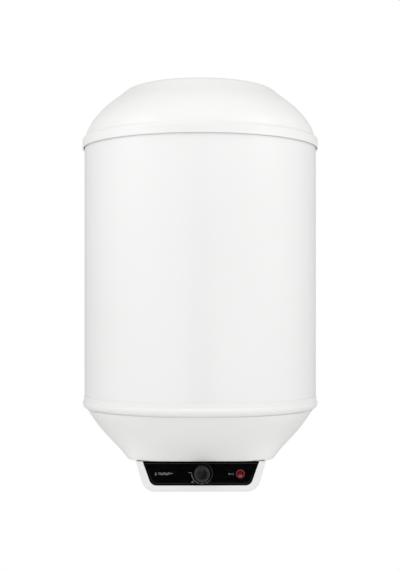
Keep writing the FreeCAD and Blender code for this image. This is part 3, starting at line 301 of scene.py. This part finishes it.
MAKERS = {
    "casing_paint": lambda s: painted_steel(s, (0.885, 0.885, 0.88)),
    "bracket_paint": lambda s: painted_steel(s, (0.80, 0.80, 0.79)),
    "white_plastic": lambda s: moulded_white(s, (0.885, 0.885, 0.875)),
    "seal_rubber": lambda s: soft_rubber(s, (0.03, 0.03, 0.03)),
    "foam": lambda s: rigid_foam(s, (0.85, 0.76, 0.50)),
    "enamelled_steel": lambda s: glass_enamel(s, (0.05, 0.10, 0.17)),
    "zinc_steel": lambda s: galvanised(s, (0.74, 0.75, 0.75)),
    "steel_bright": lambda s: bare_steel(s, (0.74, 0.73, 0.71)),
    "element_sheath": lambda s: scaled_sheath(s, (0.52, 0.50, 0.46)),
    "copper": lambda s: bare_steel(s, (0.86, 0.46, 0.29), 0.3, (1.0, 1.0, 12.0), (0.40, 0.20, 0.12)),
    "insulator": lambda s: plain_plastic(s, (0.86, 0.83, 0.74), 0.3, 900.0),
    "magnesium": lambda s: cast_magnesium(s, (0.60, 0.60, 0.60)),
    "dip_tube_plastic": lambda s: plain_plastic(s, (0.82, 0.82, 0.78), 0.5),
    "hot_red": lambda s: plain_plastic(s, (0.62, 0.03, 0.02), 0.36, worn=(0.70, 0.16, 0.12)),
    "cold_blue": lambda s: plain_plastic(s, (0.02, 0.11, 0.52), 0.36, worn=(0.12, 0.24, 0.62)),
    "fascia_black": lambda s: gloss_black(s, (0.0012, 0.0012, 0.0014), 0.07),
    "film_black": lambda s: gloss_black(s, (0.0010, 0.0010, 0.0011), 0.12),
    "knob_black": lambda s: plain_plastic(s, (0.004, 0.004, 0.0043), 0.3, 1900.0, 0.00004,
                                          worn=(0.03, 0.03, 0.03), gloss=0.34),
    "pointer_grey": lambda s: plain_plastic(s, (0.016, 0.016, 0.017), 0.4),
    "switch_black": lambda s: plain_plastic(s, (0.02, 0.02, 0.02), 0.45),
    "rocker_red": lambda s: lit_plastic(s, (0.05, 0.001, 0.002), 0.03, 0.3, (1.0, 0.02, 0.02), 0.1),
    "ring_red": lambda s: lit_plastic(s, (0.22, 0.05, 0.055), 0.02, 0.3, (1.0, 0.15, 0.15)),
    "neon_glass": lambda s: neon_glass(s, (1.0, 0.45, 0.25)),
    "thermostat_plastic": lambda s: plain_plastic(s, (0.05, 0.05, 0.05), 0.5),
    "cutout_plastic": lambda s: plain_plastic(s, (0.02, 0.02, 0.022), 0.45),
    "button_red": lambda s: plain_plastic(s, (0.55, 0.02, 0.02), 0.3),
    "terminal_plastic": lambda s: plain_plastic(s, (0.76, 0.76, 0.70), 0.4),
    "gland_plastic": lambda s: plain_plastic(s, (0.60, 0.60, 0.59), 0.5),
    "live_insulation": lambda s: plain_plastic(s, (0.22, 0.08, 0.03), 0.4, 2500.0),
    "neutral_insulation": lambda s: plain_plastic(s, (0.02, 0.12, 0.50), 0.4, 2500.0),
    "earth_insulation": lambda s: striped_insulation(s, (0.20, 0.52, 0.06), (0.85, 0.78, 0.04)),
}
materials = {slot: maker(slot) for slot, maker in MAKERS.items()}


def paint_frame():
    """Gives every CAD node its slot's material."""
    for part in frame["record"]["subparts"]:
        mesh = frame["nodes"][part["node"]].data
        mesh.materials.clear()
        mesh.materials.append(materials[part["material_slot"]])


# ---------------------------------------------------------------- pieces
def add_piece(name, bm, material, body="heater", smooth=True):
    """Makes an object of the mesh, gives it a material and lets it ride on a body."""
    bmesh.ops.recalc_face_normals(bm, faces=bm.faces)
    mesh = bpy.data.meshes.new(name)
    bm.to_mesh(mesh)
    bm.free()
    mesh.materials.append(material)
    piece = bpy.data.objects.new(name, mesh)
    scene.collection.objects.link(piece)
    if smooth:
        mesh.shade_smooth()
    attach(piece, body)
    return piece


# G 1/2 pipe thread
THREAD_PITCH = 1.814 * MM
THREAD_DEPTH = 1.1 * MM
THREAD_LENGTH = 17.0 * MM
RELIEF_LENGTH = 3.2 * MM
CREST_R, PIPE_R, RELIEF_R, PIPE_BORE_R = 10.48 * MM, 10.62 * MM, 9.4 * MM, 8.0 * MM
ROWS_PER_TURN = 10
AROUND = 64


def nipple_radius(z, turn, low):
    """The pipe's outside radius: a helical thread at its free end, a relief groove, then plain pipe."""
    rise = z - low
    if rise < THREAD_LENGTH:
        tooth = abs(((rise / THREAD_PITCH - turn) % 1.0) * 2 - 1)
        fade = min(1.0, rise / (1.5 * THREAD_PITCH) + 0.15, (THREAD_LENGTH - rise) / THREAD_PITCH + 0.1)
        return CREST_R - THREAD_DEPTH * (1 - fade * (1 - min(1.0, tooth * 1.25)))
    return RELIEF_R if rise < THREAD_LENGTH + RELIEF_LENGTH else PIPE_R


def threaded_nipple(node):
    """Replaces a pipe's plain end with a cut thread."""
    low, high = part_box(node)
    x, y = (low.x + high.x) / 2, (low.y + high.y) / 2
    rows = int(THREAD_LENGTH / THREAD_PITCH * ROWS_PER_TURN)
    heights = [low.z + THREAD_LENGTH * n / rows for n in range(rows)]
    heights += [low.z + THREAD_LENGTH + step * MM for step in (0.05, 3.1, 3.3)] + [high.z]
    bm = bmesh.new()

    def ring(z, radius_at):
        points = []
        for n in range(AROUND):
            angle = 2 * math.pi * n / AROUND
            r = radius_at(n / AROUND)
            points.append(bm.verts.new((x + r * math.cos(angle), y + r * math.sin(angle), z)))
        return points

    rings = [ring(z, lambda turn, z=z: nipple_radius(z, turn, low.z)) for z in heights]
    rings += [ring(z, lambda turn: PIPE_BORE_R) for z in (high.z, low.z)]
    for a, b in zip(rings, rings[1:] + rings[:1]):
        for n in range(AROUND):
            m = (n + 1) % AROUND
            bm.faces.new((a[n], a[m], b[m], b[n]))
    piece = add_piece(node + "_threaded", bm, materials["zinc_steel"], smooth=False)
    piece.data.shade_smooth()
    piece.data.set_sharp_from_angle(angle=math.radians(50))
    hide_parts(node)
    return piece


PRINT_T = 0.06 * MM             # how far a mark stands proud
PRINT_GAP = 0.004 * MM          # and how far its back keeps off the surface


def front_of(node):
    """Tells how far forward a part's front is at any x and z."""
    part = frame["nodes"][node]

    def depth(x, z):
        place = part.ray_cast(Vector((x, -1.0, z)), Vector((0.0, 1.0, 0.0)))[1]
        return place.y
    return depth


def print_strip(bm, points, widths, closed=False, depth=lambda x, z: FILM_Y):
    """A thin ribbon along (x, z) points, a hair proud of the front that depth gives."""
    count = len(points)
    sides = []
    for n, (x, z) in enumerate(points):
        before = points[(n - 1) % count] if closed or n else points[0]
        after = points[(n + 1) % count] if closed or n < count - 1 else points[-1]
        along = Vector((after[0] - before[0], after[1] - before[1]))
        along.normalize()
        half = widths[n] / 2
        side = Vector((-along.y, along.x)) * half
        row = []
        for proud in (PRINT_T, PRINT_GAP):
            for px, pz in ((x + side.x, z + side.y), (x - side.x, z - side.y)):
                row.append(bm.verts.new((px, depth(px, pz) - proud, pz)))
        sides.append(row)
    pairs = list(zip(sides, sides[1:] + sides[:1])) if closed else list(zip(sides, sides[1:]))
    for a, b in pairs:
        for i, j in ((0, 1), (1, 3), (3, 2), (2, 0)):
            bm.faces.new((a[i], a[j], b[j], b[i]))
    if not closed:
        for end in (sides[0], sides[-1]):
            bm.faces.new((end[0], end[1], end[3], end[2]))


def arc_points(cx, cz, radius, start, end, steps):
    """Points on a circle, with angles in degrees clockwise from straight up."""
    turns = [math.radians(start + (end - start) * n / steps) for n in range(steps + 1)]
    return [(cx + radius * math.sin(t), cz + radius * math.cos(t)) for t in turns]


def ink(name, level):
    """Silk-screened grey ink: slightly uneven in tone, duller than the film round it. The faintest grey made here
    is a painted highlight, not ink.
    """
    s = Surface(name, (level, level, level), roughness=0.5)
    s.tint(s.ranged(s.noise(1500.0, 3.0), 0.45, 0.65, 0.0, 0.5), (level * 0.7,) * 3)
    s.bump(s.noise(4000.0, 2.0), 0.00001, 0.5)
    return s.done()


INK_BRIGHT = ink("ink_bright", 0.23)
INK_DIM = ink("ink_dim", 0.085)
# painted highlight: this faint grey stands for the light along the film's bevel, not for print
FILM_SHEEN_PAINT = ink("painted_film_sheen", 0.011)
# the dial, measured from the knob's axis
DIAL_R, DIAL_END = 19.2 * MM, 268
TICK_FROM, TICK_TO, TICK_RISE, TICK_WIDTH = -25.0 * MM, -18.6 * MM, 1.4 * MM, 0.9 * MM
FROST_X, FROST_Z, FROST_REACH, FROST_WIDTH = -17.6 * MM, -15.9 * MM, 2.3 * MM, 0.65 * MM


def dial_marks():
    """The temperature wedge that swells clockwise round the knob, its end tick and a frost mark."""
    steps = 72
    points = arc_points(KNOB.x, KNOB.z, DIAL_R, 0, DIAL_END, steps)
    widths = [(0.3 + 0.75 * (n / steps) ** 1.3) * MM for n in range(steps + 1)]
    half = steps // 2
    bm = bmesh.new()
    print_strip(bm, points[:half + 1], widths[:half + 1])
    add_piece("dial_wedge_thin", bm, INK_DIM, smooth=False)
    bm = bmesh.new()
    print_strip(bm, points[half:], widths[half:])
    tick_z = KNOB.z + TICK_RISE
    print_strip(bm, [(KNOB.x + TICK_FROM, tick_z), (KNOB.x + TICK_TO, tick_z)], [TICK_WIDTH] * 2)
    add_piece("dial_wedge_thick", bm, INK_BRIGHT, smooth=False)
    bm = bmesh.new()
    cx, cz = KNOB.x + FROST_X, KNOB.z + FROST_Z
    for n in range(3):
        turn = math.pi / 3 * n + math.pi / 6
        dx, dz = FROST_REACH * math.cos(turn), FROST_REACH * math.sin(turn)
        print_strip(bm, [(cx - dx, cz - dz), (cx + dx, cz + dz)], [FROST_WIDTH] * 2)
    add_piece("frost_mark", bm, INK_BRIGHT, smooth=False)


MARK_LEFT, MARK_RISE = 20 * MM, -0.6 * MM     # from the film's left edge and its middle
DROP_STEPS, WAVE_STEPS = 24, 60


def wave_mark():
    """A wordless mark left of the knob: a drop and two rolling waves."""
    bm = bmesh.new()
    left, z = film_low.x + MARK_LEFT, PANEL_Z + MARK_RISE
    drop = []
    for n in range(DROP_STEPS):
        t = 2 * math.pi * n / DROP_STEPS
        drop.append((left + 1.6 * MM * math.sin(t) * math.sin(t / 2) ** 1.2, z + 2.6 * MM * math.cos(t)))
    print_strip(bm, drop, [0.8 * MM] * DROP_STEPS, closed=True)
    for row in range(2):
        start, long, half_turns = left + 4.5 * MM, (27 - 5 * row) * MM, 6 - row
        middle = z + (1.2 - 2.4 * row) * MM
        wave = []
        for n in range(WAVE_STEPS + 1):
            along = n / WAVE_STEPS
            wave.append((start + long * along, middle + 0.75 * MM * math.sin(along * half_turns * math.pi)))
        print_strip(bm, wave, [1.0 * MM] * (WAVE_STEPS + 1))
    add_piece("wave_mark", bm, INK_BRIGHT, smooth=False)


POWER_X = -17 * MM              # from the switch's axis


def power_mark():
    """Off and on marks left of the switch: a ring, a dash and a bar."""
    bm = bmesh.new()
    x, z = SWITCH.x + POWER_X, SWITCH.z
    print_strip(bm, arc_points(x - 3.4 * MM, z, 1.2 * MM, 0, 345, 24), [0.75 * MM] * 25, closed=True)
    print_strip(bm, [(x - 0.9 * MM, z), (x + 1.7 * MM, z)], [0.75 * MM] * 2)
    print_strip(bm, [(x + 3.6 * MM, z - 1.6 * MM), (x + 3.6 * MM, z + 1.6 * MM)], [0.9 * MM] * 2)
    add_piece("power_mark", bm, INK_BRIGHT, smooth=False)


# where the painted highlight runs round the rocker's lower edge
GLINT_R, GLINT_WIDTH = 4.05 * MM, 1.65 * MM
GLINT_START, GLINT_END, GLINT_STEPS = 130, 230, 20
RING_R, RING_WIDTH, RING_STEPS = 1.9 * MM, 0.9 * MM, 23


def switch_marks():
    """A painted highlight along the rocker's lower edge, a glowing red strip where that edge catches the light
    from above, and a ring moulded in its middle.
    """
    depth = front_of("switch_rocker")
    # painted highlight: this glowing strip stands for the light that the upward-facing lower edge of the rocker
    # catches
    highlight_paint = lit_plastic("painted_highlight_red", (0.30, 0.05, 0.05), 0.5, 0.3, (1.0, 0.17, 0.17))
    moulded = lit_plastic("moulded_red", (0.14, 0.02, 0.02), 0.06, 0.3, (1.0, 0.12, 0.10))
    bm = bmesh.new()
    arc = arc_points(SWITCH.x, SWITCH.z, GLINT_R, GLINT_START, GLINT_END, GLINT_STEPS)
    print_strip(bm, arc, [GLINT_WIDTH] * (GLINT_STEPS + 1), depth=depth)
    add_piece("rocker_painted_highlight", bm, highlight_paint, "rocker", smooth=False)
    bm = bmesh.new()
    arc = arc_points(SWITCH.x, SWITCH.z, RING_R, 0, 345, RING_STEPS)
    print_strip(bm, arc, [RING_WIDTH] * (RING_STEPS + 1), True, depth)
    add_piece("rocker_ring", bm, moulded, "rocker", smooth=False)


BORDER_INSET, BORDER_WIDTH = 0.5 * MM, 0.7 * MM
BORDER_STEP = 0.2 * MM          # points closer than this are dropped


def film_edge_sheen():
    """A painted highlight: a faint grey hairline just inside the film's edge, along the front outline of its mesh,
    standing for the light caught by the film's bevel.
    """
    mesh = frame["nodes"]["fascia_film"].data
    front = {v.index for v in mesh.vertices if v.co.y < FILM_Y + 0.00001}
    uses = {}
    for face in mesh.polygons:
        if all(v in front for v in face.vertices):
            for edge in face.edge_keys:
                uses[edge] = uses.get(edge, 0) + 1
    joined = {}
    for (a, b), count in uses.items():
        if count == 1:
            joined.setdefault(a, []).append(b)
            joined.setdefault(b, []).append(a)
    start = min(joined, key=lambda v: mesh.vertices[v].co.x)
    loop, last = [start], None
    while len(loop) == 1 or loop[-1] != start:
        onward = next(v for v in joined[loop[-1]] if v != last)
        last = loop[-1]
        loop.append(onward)
    middle = Vector((0.0, PANEL_Z))
    places = [Vector((mesh.vertices[v].co.x, mesh.vertices[v].co.z)) for v in loop[:-1]]
    points = []
    for place in places:
        away = (place - middle).normalized()
        points.append(tuple(place - away * BORDER_INSET))
    points = [p for n, p in enumerate(points) if (Vector(p) - Vector(points[n - 1])).length > BORDER_STEP]
    bm = bmesh.new()
    print_strip(bm, points, [BORDER_WIDTH] * len(points), closed=True)
    add_piece("film_edge_sheen", bm, FILM_SHEEN_PAINT, smooth=False)


# ---------------------------------------------------------------- studio
CAMERA_DISTANCE = 2.27          # from the heater's axis
CAMERA_Z = -0.075
CAMERA_X = -0.0225
LENS = 72.35                    # mm, on a 36 mm sensor
SHIFT = (-0.0003, 0.0472)
FLOOR_Z = -1.45
FLOOR_R = 2.9
FLOOR_COLOR = (0.95, 0.95, 0.95)
SKY_FRONT, SKY_BACK = 0.975, 0.44
SKY_LOW, SKY_HIGH = 1.12, 0.97
FLAG_TOWARDS = (0.0, -1.0, -0.142)      # the middle of the dark patch that the glossy panel mirrors
FLAG_FADE = (0.95, 0.985)               # cosines at which the patch starts and is fully dark
SOFT_BOX_PLACE = (1.45, -1.0, 1.0)
SOFT_BOX_SIZE = (0.8, 1.0)
SOFT_BOX_POWER = 5.3


def make_camera():
    data = bpy.data.cameras.new("camera")
    data.sensor_width = 36.0
    data.lens = LENS
    data.shift_x, data.shift_y = SHIFT
    data.clip_end = 100.0
    camera = bpy.data.objects.new("camera", data)
    camera.location = (CAMERA_X, AXIS_Y - CAMERA_DISTANCE, CAMERA_Z)
    camera.rotation_euler = (math.radians(90), 0, math.atan2(CAMERA_X, CAMERA_DISTANCE))
    scene.collection.objects.link(camera)
    scene.camera = camera


def make_floor():
    """A pale round floor that fades out into the white studio and can be seen through from underneath."""
    bm = bmesh.new()
    bmesh.ops.create_circle(bm, cap_ends=True, segments=96, radius=FLOOR_R)
    bmesh.ops.translate(bm, verts=bm.verts, vec=(0.0, AXIS_Y, FLOOR_Z))
    mesh = bpy.data.meshes.new("floor")
    bm.to_mesh(mesh)
    bm.free()
    s = Surface("floor_pale", FLOOR_COLOR, roughness=0.9)
    s.tint(s.ranged(s.noise(1.5, 3.0), 0.4, 0.7, 0.0, 0.3), tuple(c * 0.97 for c in FLOOR_COLOR))
    distance = s.tree.nodes.new("ShaderNodeVectorMath")
    distance.operation = "DISTANCE"
    distance.inputs[1].default_value = (0.0, AXIS_Y, FLOOR_Z)
    s.link(s.coords, distance.inputs[0])
    fade = s.ranged(distance.outputs["Value"], 0.45 * FLOOR_R, 0.97 * FLOOR_R, 1.0, 0.0)
    underneath = s.tree.nodes.new("ShaderNodeNewGeometry").outputs["Backfacing"]
    alpha = s.tree.nodes.new("ShaderNodeMath")
    alpha.operation = "SUBTRACT"
    alpha.use_clamp = True
    s.link(fade, alpha.inputs[0])
    s.link(underneath, alpha.inputs[1])
    s.link(alpha.outputs[0], s.shader.inputs["Alpha"])
    mesh.materials.append(s.done())
    floor = bpy.data.objects.new("floor", mesh)
    scene.collection.objects.link(floor)


def make_world():
    """A white studio: brightest in front and below, dimmer behind, with a dark patch low in front."""
    world = bpy.data.worlds.new("studio")
    scene.world = world
    world.use_nodes = True
    nodes, links = world.node_tree.nodes, world.node_tree.links
    background = nodes["Background"]
    coords = nodes.new("ShaderNodeTexCoord").outputs["Generated"]
    parts = nodes.new("ShaderNodeSeparateXYZ")
    links.new(coords, parts.inputs[0])

    def ranged(source, low, high, to_low, to_high):
        node = nodes.new("ShaderNodeMapRange")
        node.interpolation_type = "SMOOTHSTEP"
        for name, value in (("From Min", low), ("From Max", high), ("To Min", to_low), ("To Max", to_high)):
            node.inputs[name].default_value = value
        links.new(source, node.inputs["Value"])
        return node.outputs["Result"]

    def multiply(a, b):
        node = nodes.new("ShaderNodeMath")
        node.operation = "MULTIPLY"
        links.new(a, node.inputs[0])
        links.new(b, node.inputs[1])
        return node.outputs[0]

    towards = nodes.new("ShaderNodeVectorMath")
    towards.operation = "DOT_PRODUCT"
    towards.inputs[1].default_value = Vector(FLAG_TOWARDS).normalized()
    links.new(coords, towards.inputs[0])
    flag = ranged(towards.outputs["Value"], *FLAG_FADE, 1.0, 0.0)
    front = ranged(parts.outputs["Y"], -0.35, 0.55, SKY_FRONT, SKY_BACK)
    upper = ranged(parts.outputs["Z"], -0.6, 0.95, SKY_LOW, SKY_HIGH)
    light = multiply(multiply(front, upper), flag)
    seen = nodes.new("ShaderNodeLightPath").outputs["Is Camera Ray"]
    pick = nodes.new("ShaderNodeMix")
    links.new(seen, pick.inputs["Factor"])
    links.new(light, pick.inputs["A"])
    pick.inputs["B"].default_value = 1.0
    links.new(pick.outputs["Result"], background.inputs["Strength"])
    background.inputs["Color"].default_value = (1.0, 1.0, 1.0, 1.0)


def make_side_lights():
    """A pair of large soft boxes above the heater's shoulders, a little in front of it."""
    for side in (-1, 1):
        data = bpy.data.lights.new("soft_box", "AREA")
        data.shape = "RECTANGLE"
        data.size, data.size_y = SOFT_BOX_SIZE
        data.energy = SOFT_BOX_POWER
        box = bpy.data.objects.new("soft_box", data)
        box.location = (side * SOFT_BOX_PLACE[0], SOFT_BOX_PLACE[1], SOFT_BOX_PLACE[2])
        aim = Vector((0, AXIS_Y, 0.1)) - box.location
        box.rotation_euler = aim.to_track_quat("-Z", "Y").to_euler()
        scene.collection.objects.link(box)


scene.view_settings.view_transform = "Standard"
make_camera()
make_world()
make_floor()
make_side_lights()
paint_frame()
for pipe in ("cold_nipple", "hot_nipple"):
    threaded_nipple(pipe)
dial_marks()
wave_mark()
power_mark()
film_edge_sheen()
switch_marks()
